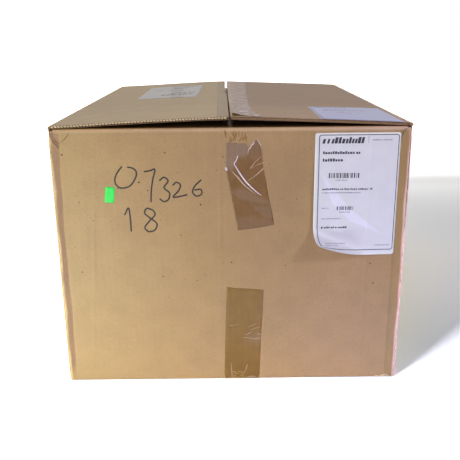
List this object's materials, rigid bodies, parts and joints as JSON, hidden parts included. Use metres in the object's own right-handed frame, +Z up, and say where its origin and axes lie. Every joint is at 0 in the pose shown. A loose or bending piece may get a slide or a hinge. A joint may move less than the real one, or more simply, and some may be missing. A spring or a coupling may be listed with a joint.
{
  "type": "corrugated shipping carton",
  "caption": "Opened single-wall corrugated carton with taped bottom, slit top tape, paper labels and two outer top flaps that swing on their scores.",
  "frame": {"origin": "on the floor, under the middle of the box", "axes": "+X to the right across the two outer top flaps, +Y along the top seam away from the labelled front wall, +Z up"},
  "size_m": [0.434, 0.594, 0.3481],
  "materials": {
    "board": "matte",
    "tape": "satin",
    "label_paper": "satin",
    "sticker_paper": "matte"
  },
  "bodies": {
    "carton": {"carton_body": "board", "bottom_seam_tape": "tape", "front_tape_tab": "tape", "back_tape_tab": "tape", "front_label": "label_paper", "green_sticker": "sticker_paper"},
    "left_flap": {"left_top_flap": "board", "left_flap_label": "label_paper", "top_tape_left_half": "tape"},
    "right_flap": {"right_top_flap": "board", "right_flap_label": "label_paper", "top_tape_right_half": "tape"}
  },
  "joints": [
    {"name": "left_flap_fold", "type": "hinge", "parent": "carton", "child": "left_flap", "pos_m": [-0.217, 0, 0.3393], "axis": [0, -1, 0], "range_deg": [-2.2, 255]},
    {"name": "right_flap_fold", "type": "hinge", "parent": "carton", "child": "right_flap", "pos_m": [0.217, 0, 0.3393], "axis": [0, 1, 0], "range_deg": [-2.2, 255]}
  ]
}
